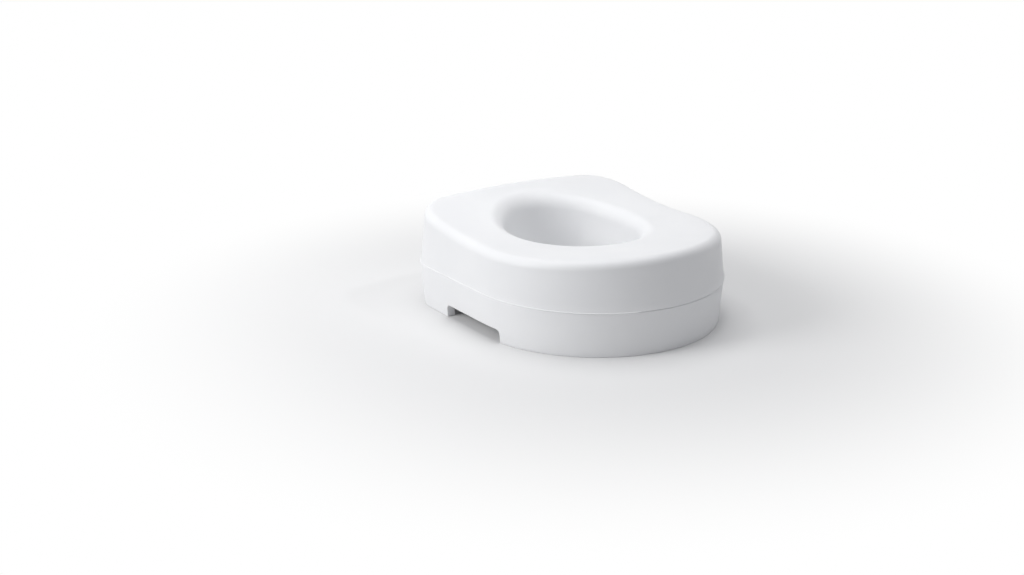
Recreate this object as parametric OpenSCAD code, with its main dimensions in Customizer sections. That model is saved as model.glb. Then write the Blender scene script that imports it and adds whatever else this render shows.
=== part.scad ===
// Raised toilet seat: a contoured seat moulding on a base moulding that stands on four rubber pads.
// Millimetres, +Z up, front towards -Y. The origin lies under the middle, on the skirt's lower edge.

/* [Outline] */
// Width across the straight sides
seat_w = 385; // [360:1:420]
// Depth from front to rear
seat_d = 422; // [405:1:470]
// Radius of the two rear corners
rear_corner_r = 72; // [50:1:100]
// Radius of the bowed rear edge
rear_bow_r = 930; // [500:10:1600]

/* [Seat top] */
// Height of the lowest line of the saddle-shaped top
saddle_z = 127; // [115:0.5:150]
// Distance of that line from the middle, front negative
saddle_y = -4; // [-40:1:20]
// Radius of the saddle from that line to the front
saddle_front_r = 1800; // [1000:10:4000]
// Radius of the saddle from that line to the rear
saddle_rear_r = 735; // [600:5:2000]
// Fall of the top from the rolled edge to the opening
dish = 2.4; // [0:0.1:6]
// Radius of the rolled outer edge
edge_roll = 14; // [9:0.5:20]
// Inward lean of the upper wall from the seam to the roll
upper_lean = 7.4; // [4:0.1:11]
// Wall of the seat moulding
seat_wall = 3.5; // [2.6:0.1:4.5]
// Thickness of the ribs under the top
rib_t = 2.6; // [2:0.1:4]
// Depth of the ribs below the top
rib_depth = 34; // [26:1:44]

/* [Opening] */
// Width of the opening at its throat
opening_w = 188; // [165:1:200]
// Length of the opening at its throat
opening_d = 227; // [205:1:240]
// Distance of the opening's centre from the middle, rear positive
opening_y = 34; // [20:1:38]
// Radius of the opening's rounded lip
lip_r = 21.5; // [12:0.5:25]
// Inward lean of the funnel from the throat to its lower edge
funnel_lean = 6; // [2:0.5:10]
// Height of the funnel's lower edge, the splash guard
guard_z = 6; // [3:0.5:14]

/* [Base] */
// Height of the seam between the two mouldings
seam_z = 63.5; // [56:0.5:74]
// How far the bead on the seam stands proud of the walls above and below it
seam_step = 1.2; // [0.5:0.1:2]
// Height of that bead, which is the foot of the seat moulding's wall
bead_h = 3.6; // [2.6:0.1:6]
// Inward lean of the skirt's lower edge, measured from the seam
skirt_lean = 6.2; // [4:0.1:10]
// Wall of the skirt
skirt_wall = 3.2; // [2.6:0.1:4.5]
// Radius of the skirt's lower edges
skirt_edge_r = 1; // [0.5:0.1:1.2]
// Height of the platform's underside
platform_z = 27; // [25:0.5:32]
// Thickness of the platform
platform_t = 3; // [2.5:0.1:4]
// Height of the collar round the funnel, above the platform
collar_h = 14; // [8:1:20]
// Height of the spigot inside the upper wall
spigot_h = 8; // [5:0.5:12]
// Wall of the spigot and the collar
spigot_wall = 2.4; // [2:0.1:3]
// Gap between the spigot or the collar and the seat moulding
fit_gap = 0.4; // [0.2:0.05:0.6]

/* [Hand notches] */
// Length of each hand notch
notch_l = 134; // [100:1:145]
// Height of each hand notch
notch_h = 19; // [15:0.5:20]
// Distance of the notches' middle from the seat's middle, rear positive
notch_y = 15; // [5:1:25]
// Radius of the notch's upper corners
notch_r = 7; // [3:0.5:12]
// Depth of the grip edge that lines the notch
grip_depth = 10; // [6:0.5:12]
// Wall of the grip edge
grip_wall = 2.8; // [2:0.1:3.5]

/* [Rear relief] */
// Width of the relief in the rear skirt
relief_w = 250; // [200:1:280]
// Height of the relief above the level of the pads' soles
relief_gap = 1; // [0.5:0.1:3]
// Radius of the relief's upper corners
relief_r = 12; // [4:0.5:16]

/* [Rubber pads] */
// Length of a pad
pad_l = 56; // [44:1:64]
// Width of a pad
pad_w = 20; // [16:1:24]
// Thickness of a pad under the platform
pad_t = 5; // [4:0.5:6]
// Chamfer round a pad's lower face
pad_chamfer = 1; // [0.5:0.1:1.5]
// Distance of the pads' centre lines from the outline
pad_inset = 38; // [32:1:44]
// Angle of the front pads from the front
pad_front_angle = 40; // [34:1:48]
// Distance of the rear pads from the middle
pad_rear_y = 108; // [100:1:112]
// Diameter of a pad's stems
stem_d = 6; // [4:0.5:8]
// Distance between a pad's two stems
stem_pitch = 30; // [24:1:34]
// Overhang of a stem's head round its hole
stem_head = 1.2; // [0.8:0.1:2]
// Height of a stem's head
stem_head_h = 6; // [4:0.5:8]
// Gap round a stem in its hole
stem_gap = 0.15; // [0.1:0.05:0.3]

/* [Screws] */
// Angles of the screws from the front, the same on both sides
screw_angles = [24, 66, 98, 150]; // [20:1:160]
// Diameter of the screws
screw_d = 4; // [3:0.5:5]
// Length of the screws under the head
screw_l = 22; // [16:1:26]
// Diameter of the screw heads
screw_head_d = 8; // [7:0.5:9]
// Height of the screw heads
screw_head_h = 2.8; // [2:0.1:3.5]
// Gap round a screw in its bosses
screw_gap = 0.1; // [0.05:0.05:0.3]
// Outer diameter of the seat's bosses
boss_d = 13; // [11:0.5:15]
// Outer diameter of the base's screw towers
tower_d = 17; // [15:0.5:19]
// Wall of the towers
tower_wall = 3; // [2.5:0.1:3.5]
// Height of the towers above the platform
tower_h = 30; // [24:1:34]
// Thickness of the web under a screw head
web_t = 4; // [3:0.5:5]

/* [Smoothness] */
// Steps along a quarter of the round front
nose_steps = 22; // [12:1:30]
// Steps along a straight side
side_steps = 4; // [2:1:8]
// Steps round a rear corner
corner_steps = 10; // [6:1:16]
// Steps along half of the rear edge
rear_steps = 4; // [3:1:8]
// Steps along the grip edge of a hand notch
grip_steps = 6; // [4:1:12]

/* [Hidden] */
$fn = 48;
overlap = 1;
white = [0.93, 0.93, 0.94];

// Centres of the outline's arcs, on the right half
half_w = seat_w / 2;
nose_y = half_w - seat_d / 2;
corner_x = half_w - rear_corner_r;
bow_y = seat_d / 2 - rear_bow_r;
corner_y = bow_y + sqrt(pow(rear_bow_r - rear_corner_r, 2) - pow(corner_x, 2));
corner_sweep = atan2(corner_y - bow_y, corner_x);
nose_c = [0, nose_y];
corner_c = [corner_x, corner_y];
bow_c = [0, bow_y];
eye = [0, opening_y];

// Heights that several pieces share
rim_z = platform_z - pad_t;
deck_z = platform_z + platform_t;
tower_z = deck_z + tower_h;
seat_z = tower_z - web_t;
collar_z = deck_z + collar_h;
spigot_z = seam_z + spigot_h;
screw_hole_d = screw_d + 2 * screw_gap;

// Directions from the opening's centre to evenly spread points of the outline
function arc(c, r, from, to, steps) =
    [for (i = [0 : steps - 1]) let (a = from + (to - from) * i / steps) c + r * [cos(a), sin(a)]];
function run(from, to, steps) = [for (i = [0 : steps - 1]) from + (to - from) * i / steps];
right_half = concat(
    arc(nose_c, half_w, -90, 0, nose_steps),
    run([half_w, nose_y], [half_w, corner_y], side_steps),
    arc(corner_c, rear_corner_r, 0, corner_sweep, corner_steps),
    arc(bow_c, rear_bow_r, corner_sweep, 90, rear_steps)
);
right_rays = [for (p = right_half) (p - eye) / norm(p - eye)];
left_rays = [for (i = [len(right_rays) - 1 : -1 : 1]) [-right_rays[i].x, right_rays[i].y]];
rays = concat(right_rays, [[0, 1]], left_rays);
function ray(angle) = [sin(angle), -cos(angle)];

// Distance along a ray from the opening's centre to the outline drawn in by an inset
function hit(u, c, r) = let (w = eye - c, b = w * u) sqrt(max(b * b - w * w + r * r, 0)) - b;
function reach(ray, inset) =
    let (
        u = [abs(ray.x), ray.y],
        side = (half_w - inset) / max(u.x, 0.001),
        side_y = eye.y + side * u.y,
        corner = hit(u, corner_c, rear_corner_r - inset),
        q = eye + corner * u - corner_c
    )
    side_y < nose_y ? hit(u, nose_c, half_w - inset)
    : side_y <= corner_y ? side
    : atan2(q.y, q.x) <= corner_sweep ? corner
    : hit(u, bow_c, rear_bow_r - inset);

// Distance along a ray to the opening's oval, let out by an allowance
function oval(u, out) = 1 / norm([u.x / (opening_w / 2 + out), u.y / (opening_d / 2 + out)]);

// Height of the saddle, and of the dished top part of the way from the roll to the lip
function saddle(y) =
    let (r = y < saddle_y ? saddle_front_r : saddle_rear_r)
    saddle_z + pow(y - saddle_y, 2) / (2 * r);
function ease(s) = s * s * (3 - 2 * s);

// One profile of the seat in the plane of a ray, as [distance, height], at a depth under its skin
function draped(u, s, drop) = [s, saddle((eye + s * u).y) - drop];
function roll_at(u, depth, a) =
    let (r = edge_roll - depth)
    draped(u, reach(u, upper_lean + edge_roll - r * cos(a)), edge_roll - r * sin(a));
function top_at(u, depth, s) =
    let (outer = reach(u, upper_lean + edge_roll), inner = oval(u, lip_r))
    draped(u, outer + (inner - outer) * s, dish * ease(s) + depth);
function lip_at(u, depth, a) =
    let (r = lip_r - depth)
    draped(u, oval(u, lip_r - r * sin(a)), dish + lip_r - r * cos(a));
function skin(u, depth, roll_angles, top_shares, lip_angles) = concat(
    [for (a = roll_angles) roll_at(u, depth, a)],
    [for (s = top_shares) top_at(u, depth, s)],
    [for (a = lip_angles) lip_at(u, depth, a)]
);

// Points where the upper wall and the funnel cross a height, at a depth under the skin
function between(low, high, z) = low.x + (high.x - low.x) * (z - low.y) / (high.y - low.y);
function wall_at(u, depth, z) =
    let (foot = [seam_step, seam_z], head = [upper_lean, roll_at(u, depth, 0).y])
    [reach(u, depth + between(foot, head, z)), z];
function guard_at(u, depth) = [oval(u, depth - funnel_lean), guard_z];
function funnel_at(u, depth, z) = [between(guard_at(u, depth), lip_at(u, depth, 90), z), z];

// Section of the bead, from under its round foot up to the wall
function bead_section(u) = [
    [reach(u, seam_step / 2), seam_z],
    [reach(u, 0), seam_z + seam_step / 2],
    [reach(u, 0), seam_z + bead_h - seam_step],
    wall_at(u, 0, seam_z + bead_h)
];

// Closed section of the seat moulding: up the wall, over the top, down the funnel and back inside
function seat_section(u) = concat(
    bead_section(u),
    skin(u, 0, [0 : 18 : 90], [0.2 : 0.2 : 0.8], [0 : 18 : 90]),
    [guard_at(u, 0), guard_at(u, seat_wall)],
    [for (a = [90, 60, 30]) lip_at(u, seat_wall, a)],
    [for (s = [1, 0.5]) top_at(u, seat_wall, s)],
    [for (a = [90, 60, 30, 0]) roll_at(u, seat_wall, a)],
    [wall_at(u, seat_wall, seam_z)]
);

// Closed section of the base moulding: up the skirt, over the spigot, along the platform and round the collar
function skirt_inset(z) = seam_step + (skirt_lean - seam_step) * (seam_z - z) / seam_z;
function skirt_at(u, depth, z) = [reach(u, skirt_inset(z) + depth), z];
function collar_at(u, depth, z) = funnel_at(u, seat_wall, z) + [fit_gap + depth, 0];
function spigot_at(u, depth, z) = wall_at(u, seat_wall + fit_gap + depth, z);
function base_section(u) = [
    skirt_at(u, skirt_edge_r, 0),
    skirt_at(u, 0.3 * skirt_edge_r, 0.3 * skirt_edge_r),
    skirt_at(u, 0, skirt_edge_r),
    skirt_at(u, 0, seam_z),
    spigot_at(u, 0, seam_z),
    spigot_at(u, 0, spigot_z),
    spigot_at(u, spigot_wall, spigot_z),
    spigot_at(u, spigot_wall, seam_z),
    skirt_at(u, skirt_wall, deck_z),
    collar_at(u, spigot_wall, deck_z),
    collar_at(u, spigot_wall, collar_z),
    collar_at(u, 0, collar_z),
    collar_at(u, 0, platform_z),
    skirt_at(u, skirt_wall, platform_z),
    skirt_at(u, skirt_wall, skirt_edge_r),
    skirt_at(u, skirt_wall - 0.3 * skirt_edge_r, 0.3 * skirt_edge_r),
    skirt_at(u, skirt_wall - skirt_edge_r, 0)
];

// Loft of closed sections that stand on rays, either right round the opening or capped at its two ends
function in_space(u, p) = [eye.x + p.x * u.x, eye.y + p.x * u.y, p.y];
module loft(stations, sections, capped = false) {
    count = len(sections);
    size = len(sections[0]);
    points = [for (i = [0 : count - 1]) each [for (p = sections[i]) in_space(stations[i], p)]];
    skin_faces = [
        for (i = [0 : count - (capped ? 2 : 1)], j = [0 : size - 1])
            let (
                a = i * size + j,
                b = i * size + (j + 1) % size,
                c = (i + 1) % count * size + (j + 1) % size,
                d = (i + 1) % count * size + j
            )
            each [[a, b, c], [a, c, d]]
    ];
    first_cap = [for (j = [1 : size - 2]) [0, j + 1, j]];
    last = (count - 1) * size;
    last_cap = [for (j = [1 : size - 2]) [last, last + j, last + j + 1]];
    polyhedron(points, capped ? concat(skin_faces, first_cap, last_cap) : skin_faces);
}

// Places of the screws, half-way between the funnel and the skirt
screw_rays = [for (a = screw_angles, side = [-1, 1]) ray(side * a)];
function screw_reach(u) = (funnel_at(u, seat_wall, tower_z).x + reach(u, skirt_wall)) / 2;
module at_screws() {
    for (u = screw_rays) {
        translate(in_space(u, [screw_reach(u), 0])) children();
    }
}

// Height of the middle of the top's skin above a screw
function screw_share(u) =
    let (outer = reach(u, upper_lean + edge_roll), inner = oval(u, lip_r))
    min(max((outer - screw_reach(u)) / (outer - inner), 0), 1);
function boss_top(u) = top_at(u, seat_wall / 2, screw_share(u)).y;

// Rib under the top in the plane of a ray, from the funnel to the upper wall
module rib(u) {
    low_z = boss_top(u) - rib_depth;
    half = seat_wall / 2;
    edge = concat(
        [wall_at(u, half, low_z)],
        skin(u, half, [0 : 30 : 90], [0.25 : 0.25 : 0.75], [0 : 30 : 90]),
        [funnel_at(u, half, low_z)]
    );
    translate([eye.x, eye.y, 0]) rotate(atan2(u.y, u.x)) rotate([90, 0, 0])
        linear_extrude(rib_t, center = true) polygon(edge);
}

module seat_shell() {
    color(white) difference() {
        union() {
            loft(rays, [for (u = rays) seat_section(u)]);
            for (u = screw_rays) {
                rib(u);
                translate(in_space(u, [screw_reach(u), tower_z])) cylinder(h = boss_top(u) - tower_z, d = boss_d);
            }
        }
        at_screws() translate([0, 0, tower_z - overlap])
            cylinder(h = screw_l - web_t + 2 * overlap, d = screw_hole_d);
    }
}

// Slot with round upper corners and an open foot, standing in the XZ plane
module arch(width, height, corner_r, foot) {
    x = width / 2 - corner_r;
    y = height - corner_r;
    turn = [for (a = [0 : 15 : 90]) corner_r * [cos(a), sin(a)]];
    right = [for (p = turn) [x, y] + p];
    left = [for (i = [len(turn) - 1 : -1 : 0]) [-x - turn[i].x, y + turn[i].y]];
    polygon(concat([[width / 2, -foot]], right, left, [[-width / 2, -foot]]));
}

// Thick edge that lines a hand notch, before the notch is cut through it
function side_x(y) = y < nose_y ? sqrt(half_w * half_w - pow(y - nose_y, 2)) : half_w;
function side_ray(y) = let (p = [side_x(y), y] - eye) p / norm(p);
grip_front_y = notch_y - notch_l / 2 - grip_wall;
grip_rear_y = notch_y + notch_l / 2 + grip_wall;
grip_z = notch_h + grip_wall;
grip_rays = [for (i = [0 : grip_steps]) side_ray(grip_front_y + (grip_rear_y - grip_front_y) * i / grip_steps)];
function grip_section(u) = [
    skirt_at(u, skirt_wall / 2, skirt_edge_r),
    skirt_at(u, skirt_wall / 2, grip_z),
    skirt_at(u, skirt_wall + grip_depth, grip_z),
    skirt_at(u, skirt_wall + grip_depth, skirt_edge_r)
];
module both_sides() {
    children();
    mirror([1, 0, 0]) children();
}
module grip_edge() {
    loft(grip_rays, [for (u = grip_rays) grip_section(u)], capped = true);
}
module hand_notch() {
    depth = half_w - side_x(grip_front_y) + skirt_lean + skirt_wall + grip_depth + 2 * overlap;
    translate([half_w + overlap - depth, notch_y, 0]) rotate([90, 0, 90])
        linear_extrude(depth) arch(notch_l, notch_h, notch_r, overlap);
}

module tower() {
    foot_z = platform_z + platform_t / 2;
    translate([0, 0, foot_z]) cylinder(h = tower_z - foot_z, d = tower_d);
}

module tower_bore() {
    translate([0, 0, platform_z - overlap]) cylinder(h = seat_z - platform_z + overlap, d = tower_d - 2 * tower_wall);
    translate([0, 0, seat_z - overlap]) cylinder(h = web_t + 2 * overlap, d = screw_hole_d);
}

module base_shell() {
    color(white) difference() {
        union() {
            loft(rays, [for (u = rays) base_section(u)]);
            at_screws() tower();
            both_sides() grip_edge();
        }
        at_screws() tower_bore();
        both_sides() hand_notch();
        translate([0, seat_d / 2 + overlap, 0]) rotate([90, 0, 0])
            linear_extrude(seat_d / 2 - corner_y)
                arch(relief_w, rim_z + relief_gap, relief_r, overlap);
        for (front = [true, false], side = [-1, 1]) at_pad(front, side) stem_pair(stem_d / 2 + stem_gap);
    }
}

// Place of a pad: on the round front, or beside the straight side
function pad_place(front, side) = front
    ? nose_c + (half_w - pad_inset) * [side * sin(pad_front_angle), -cos(pad_front_angle)]
    : [side * (half_w - pad_inset), pad_rear_y];
module at_pad(front, side) {
    place = pad_place(front, side);
    translate([place.x, place.y, rim_z]) rotate(front ? side * pad_front_angle : 90) children();
}

module stem_pair(r) {
    for (x = [-stem_pitch / 2, stem_pitch / 2]) {
        translate([x, 0, pad_t - overlap]) cylinder(h = platform_t + 2 * overlap, r = r);
    }
}

// Stem with a head that snaps over the platform, as half a section
module stem() {
    shank_r = stem_d / 2;
    top = pad_t + platform_t;
    rotate_extrude() polygon([
        [0, pad_t / 2], [shank_r, pad_t / 2], [shank_r, top], [shank_r + stem_head, top],
        [shank_r + stem_head, top + stem_head_h / 3], [shank_r - stem_head, top + stem_head_h],
        [0, top + stem_head_h]
    ]);
}

// Half of a pad's section, from its middle line outwards
pad_half = [
    [0, 0], [pad_w / 2 - pad_chamfer, 0], [pad_w / 2, pad_chamfer], [pad_w / 2, pad_t], [0, pad_t]
];
module pad(front, side) {
    straight = pad_l - pad_w;
    color([0.25, 0.25, 0.26]) at_pad(front, side) {
        rotate([90, 0, 90]) linear_extrude(straight, center = true) {
            polygon(pad_half);
            mirror([1, 0]) polygon(pad_half);
        }
        for (end = [0, 180]) {
            rotate(end) translate([straight / 2, 0, 0]) rotate(-90) rotate_extrude(angle = 180) polygon(pad_half);
        }
        for (x = [-stem_pitch / 2, stem_pitch / 2]) translate([x, 0, 0]) stem();
    }
}

module front_left_pad() { pad(true, -1); }
module front_right_pad() { pad(true, 1); }
module rear_left_pad() { pad(false, -1); }
module rear_right_pad() { pad(false, 1); }

// Self-tapping screws with round heads, driven up from below
module shell_screws() {
    head_r = screw_head_d / 2;
    color("silver") at_screws() translate([0, 0, seat_z]) rotate_extrude() polygon([
        [0, -screw_head_h], [head_r / 2, -screw_head_h], [head_r * 0.85, -screw_head_h * 0.7],
        [head_r, -screw_head_h * 0.3], [head_r, 0], [screw_d / 2, 0],
        [screw_d / 2, screw_l - screw_d / 2], [0, screw_l]
    ]);
}

seat_shell();
base_shell();
front_left_pad();
front_right_pad();
rear_left_pad();
rear_right_pad();
shell_screws();
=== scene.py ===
# %% [markdown]
# # Raised toilet seat
# The object is a white seat with a contoured top round an oval opening. It is made of two plastic
# mouldings that meet at a seam, eight screws that hold them together and four rubber pads on which it
# stands. The CAD model gives every piece its place and its size. This script gives the pieces their fine
# shape and finish.

# %% Load the frame
import math

import bmesh
import bpy
import numpy as np
from mathutils import Matrix, Vector
from mathutils.bvhtree import BVHTree


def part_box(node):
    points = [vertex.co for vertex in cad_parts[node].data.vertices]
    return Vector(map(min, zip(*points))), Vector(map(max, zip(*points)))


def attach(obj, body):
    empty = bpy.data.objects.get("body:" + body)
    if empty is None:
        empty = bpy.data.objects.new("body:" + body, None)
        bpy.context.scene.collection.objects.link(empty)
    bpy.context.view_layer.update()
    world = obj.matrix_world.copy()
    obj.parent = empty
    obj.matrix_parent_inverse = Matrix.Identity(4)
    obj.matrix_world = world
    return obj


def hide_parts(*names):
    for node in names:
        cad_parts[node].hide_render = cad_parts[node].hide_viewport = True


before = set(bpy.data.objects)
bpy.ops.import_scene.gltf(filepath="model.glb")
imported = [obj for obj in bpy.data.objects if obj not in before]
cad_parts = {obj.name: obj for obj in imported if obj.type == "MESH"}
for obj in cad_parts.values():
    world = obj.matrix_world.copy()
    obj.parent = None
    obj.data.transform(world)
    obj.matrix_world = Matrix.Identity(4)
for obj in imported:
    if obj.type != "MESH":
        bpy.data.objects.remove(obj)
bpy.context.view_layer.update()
print("CAD nodes:", sorted(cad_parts))

# %% [markdown]
# ## Arithmetic in a node tree
# The seat's shape follows a rule, and Geometry Nodes can hold that rule. Written node by node it would be
# long, so a small class stands for a number in the tree, and each sign between two such numbers adds one
# Math node.


# %% Numbers in a node tree
class Term:
    """A number in a node tree. Arithmetic on it adds Math nodes."""

    def __init__(self, tree, socket):
        self.tree = tree
        self.socket = socket

    def math(self, operation, *values):
        node = self.tree.nodes.new("ShaderNodeMath")
        node.operation = operation
        for slot, value in zip(node.inputs, values):
            if isinstance(value, Term):
                self.tree.links.new(value.socket, slot)
            else:
                slot.default_value = value
        return Term(self.tree, node.outputs["Value"])

    def __add__(self, other):
        return self.math("ADD", self, other)

    def __sub__(self, other):
        return self.math("SUBTRACT", self, other)

    def __rsub__(self, other):
        return self.math("SUBTRACT", other, self)

    def __mul__(self, other):
        return self.math("MULTIPLY", self, other)

    def __rmul__(self, other):
        return self.math("MULTIPLY", other, self)

    def __truediv__(self, other):
        return self.math("DIVIDE", self, other)

    def __rtruediv__(self, other):
        return self.math("DIVIDE", other, self)

    def below(self, other):
        return self.math("LESS_THAN", self, other)

    def root(self):
        return self.math("SQRT", self.math("MAXIMUM", self, 0.0))


def mix(first, second, share):
    return first * (1.0 - share) + second * share


print("a Term turns +, -, * and / into Math nodes")

# %% [markdown]
# A tree gets its sizes as named inputs, so that it can be tried with other sizes in the modifier panel.
# The value of an input is stored on the modifier under the socket's identifier, and it has to be there
# before the object is first evaluated. The finished mesh is then taken from the evaluated object, and the
# modifier goes.


# %% Make and run a tree
def new_tree(name, sizes):
    tree = bpy.data.node_groups.new(name, "GeometryNodeTree")
    tree.interface.new_socket("Geometry", in_out="INPUT", socket_type="NodeSocketGeometry")
    for label in sizes:
        tree.interface.new_socket(label, in_out="INPUT", socket_type="NodeSocketFloat")
    tree.interface.new_socket("Finish", in_out="INPUT", socket_type="NodeSocketMaterial")
    tree.interface.new_socket("Geometry", in_out="OUTPUT", socket_type="NodeSocketGeometry")
    return tree, tree.nodes.new("NodeGroupInput"), tree.nodes.new("NodeGroupOutput")


def chain(tree, *nodes):
    """Link each node's geometry to the next one's."""
    for first, second in zip(nodes, nodes[1:]):
        outlet = next(s for s in first.outputs if s.type == "GEOMETRY")
        inlet = next(s for s in second.inputs if s.type == "GEOMETRY")
        tree.links.new(outlet, inlet)


def run_tree(piece, tree, values):
    """Put a mesh through a tree and keep the result as a plain mesh."""
    modifier = piece.modifiers.new(tree.name, "NODES")
    modifier.node_group = tree
    for item in tree.interface.items_tree:
        if item.in_out == "INPUT" and item.name in values:
            modifier[item.identifier] = values[item.name]
    evaluated = piece.evaluated_get(bpy.context.evaluated_depsgraph_get())
    mesh = bpy.data.meshes.new_from_object(evaluated)
    piece.modifiers.remove(modifier)
    card, piece.data = piece.data, mesh
    bpy.data.meshes.remove(card)
    mesh.name = piece.name


print("trees are made, run and turned into plain meshes")

# %% [markdown]
# ## Finishes
# White moulded plastic is never one flat value. Its tone drifts a little, it has a fine pebble from the
# mould, and the pebble breaks up the gloss. Rubber and zinc show the same two effects with other values.
# Each effect is a shader node group with named inputs, built once and placed in each material.


# %% Shared effects
def new_group(name, inputs, outputs):
    group = bpy.data.node_groups.new(name, "ShaderNodeTree")
    for label, kind, value in inputs:
        group.interface.new_socket(label, in_out="INPUT", socket_type=kind).default_value = value
    for label, kind in outputs:
        group.interface.new_socket(label, in_out="OUTPUT", socket_type=kind)
    return group, group.nodes.new("NodeGroupInput"), group.nodes.new("NodeGroupOutput")


def noise(tree, scale, detail, roughness):
    node = tree.nodes.new("ShaderNodeTexNoise")
    node.inputs["Scale"].default_value = scale
    node.inputs["Detail"].default_value = detail
    node.inputs["Roughness"].default_value = roughness
    tree.links.new(tree.nodes.new("ShaderNodeTexCoord").outputs["Object"], node.inputs["Vector"])
    return node


def drifting_tone():
    """A colour that wanders between two tones in soft patches."""
    group, inlet, outlet = new_group(
        "Drifting tone",
        [
            ("Patch Scale", "NodeSocketFloat", 8.0),
            ("First Tone", "NodeSocketColor", (1, 1, 1, 1)),
            ("Second Tone", "NodeSocketColor", (1, 1, 1, 1)),
        ],
        [("Color", "NodeSocketColor"), ("Patches", "NodeSocketFloat")],
    )
    cloud = noise(group, scale=8.0, detail=3.0, roughness=0.5)
    spread = group.nodes.new("ShaderNodeMapRange")
    spread.interpolation_type = "SMOOTHSTEP"
    spread.inputs["From Min"].default_value = 0.3
    spread.inputs["From Max"].default_value = 0.7
    tone = group.nodes.new("ShaderNodeMix")
    tone.data_type = "RGBA"
    first, second = (socket for socket in tone.inputs if socket.type == "RGBA")
    mixed = next(socket for socket in tone.outputs if socket.type == "RGBA")
    group.links.new(inlet.outputs["Patch Scale"], cloud.inputs["Scale"])
    group.links.new(cloud.outputs["Fac"], spread.inputs["Value"])
    group.links.new(spread.outputs["Result"], tone.inputs["Factor"])
    group.links.new(inlet.outputs["First Tone"], first)
    group.links.new(inlet.outputs["Second Tone"], second)
    group.links.new(mixed, outlet.inputs["Color"])
    group.links.new(spread.outputs["Result"], outlet.inputs["Patches"])
    return group


def mould_pebble():
    """A fine pebble as a height for a bump, and a roughness that drifts in larger soft patches."""
    group, inlet, outlet = new_group(
        "Mould pebble",
        [
            ("Pebble Scale", "NodeSocketFloat", 900.0),
            ("Lowest Roughness", "NodeSocketFloat", 0.3),
            ("Highest Roughness", "NodeSocketFloat", 0.4),
        ],
        [("Height", "NodeSocketFloat"), ("Roughness", "NodeSocketFloat")],
    )
    grain = noise(group, scale=900.0, detail=2.0, roughness=0.6)
    wear = noise(group, scale=22.0, detail=4.0, roughness=0.55)
    gloss = group.nodes.new("ShaderNodeMapRange")
    gloss.inputs["From Min"].default_value = 0.3
    gloss.inputs["From Max"].default_value = 0.7
    group.links.new(inlet.outputs["Pebble Scale"], grain.inputs["Scale"])
    group.links.new(wear.outputs["Fac"], gloss.inputs["Value"])
    group.links.new(inlet.outputs["Lowest Roughness"], gloss.inputs["To Min"])
    group.links.new(inlet.outputs["Highest Roughness"], gloss.inputs["To Max"])
    group.links.new(grain.outputs["Fac"], outlet.inputs["Height"])
    group.links.new(gloss.outputs["Result"], outlet.inputs["Roughness"])
    return group


tone_group = drifting_tone()
pebble_group = mould_pebble()
print("shared effects:", tone_group.name, "and", pebble_group.name)

# %% [markdown]
# Each material is a Principled BSDF with these two groups in front of it. What is the same all over a
# surface, such as the metal's metallic value, is set on the shader itself.


# %% Materials
def finish(name, tones, patch_scale, pebble_scale, roughness, bump, constants):
    """A plastic, rubber or metal. Roughness is its lowest and highest, bump its strength and depth."""
    material = bpy.data.materials.new(name)
    material.use_nodes = True
    tree = material.node_tree
    shader = tree.nodes["Principled BSDF"]
    tone = tree.nodes.new("ShaderNodeGroup")
    tone.node_tree = tone_group
    tone.inputs["Patch Scale"].default_value = patch_scale
    tone.inputs["First Tone"].default_value = (*tones[0], 1)
    tone.inputs["Second Tone"].default_value = (*tones[1], 1)
    pebble = tree.nodes.new("ShaderNodeGroup")
    pebble.node_tree = pebble_group
    pebble.inputs["Pebble Scale"].default_value = pebble_scale
    pebble.inputs["Lowest Roughness"].default_value = roughness[0]
    pebble.inputs["Highest Roughness"].default_value = roughness[1]
    relief = tree.nodes.new("ShaderNodeBump")
    relief.inputs["Strength"].default_value = bump[0]
    relief.inputs["Distance"].default_value = bump[1]
    tree.links.new(tone.outputs["Color"], shader.inputs["Base Color"])
    tree.links.new(pebble.outputs["Roughness"], shader.inputs["Roughness"])
    tree.links.new(pebble.outputs["Height"], relief.inputs["Height"])
    tree.links.new(relief.outputs["Normal"], shader.inputs["Normal"])
    for label, value in constants.items():
        shader.inputs[label].default_value = value
    print("finish:", name)
    return material


moulded = {"patch_scale": 9.0, "pebble_scale": 850.0, "roughness": (0.4, 0.54), "bump": (0.4, 0.0003)}
plastic = {"Metallic": 0.0, "IOR": 1.49, "Specular IOR Level": 0.35}
seat_tones = [(0.898, 0.902, 0.912), (0.872, 0.878, 0.89)]
# Both mouldings are the same white plastic. The base's tones are a little lighter than the seat's, and the
# extra lightness is painted bounce light: it stands in for the light that reaches the skirt from below.
base_tones_with_painted_bounce = [(0.925, 0.929, 0.938), (0.9, 0.906, 0.917)]
seat_white = finish("seat white plastic", seat_tones, **moulded, constants=plastic)
base_white_with_painted_bounce = finish("base white plastic", base_tones_with_painted_bounce, **moulded, constants=plastic)
pad_rubber = finish(
    "grey pad rubber",
    [(0.045, 0.045, 0.048), (0.075, 0.075, 0.078)],
    patch_scale=60.0,
    pebble_scale=2600.0,
    roughness=(0.7, 0.85),
    bump=(0.5, 0.0002),
    constants={"Metallic": 0.0, "IOR": 1.52},
)
zinc_steel = finish(
    "zinc screw steel",
    [(0.62, 0.62, 0.63), (0.5, 0.5, 0.53)],
    patch_scale=180.0,
    pebble_scale=1800.0,
    roughness=(0.25, 0.45),
    bump=(0.1, 0.0001),
    constants={"Metallic": 1.0},
)

# %% [markdown]
# ## The rule of the mouldings
# Looked at from above, both mouldings run round the opening. A ray from the opening's middle cuts each of
# them in one section, and all sections follow one rule: a point lies on the outline drawn in by an inset,
# on the opening's oval let out by an allowance, or a share of the way between the two. Its height is a
# level, or a drop below the saddle. A flat card of points holds these values as attributes, and the tree
# moves every point to its place. A cage under a Subdivision Surface could give such a shape too, but it
# would be hard to hold to its sizes. The outline's width and length come from the CAD node.

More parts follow.
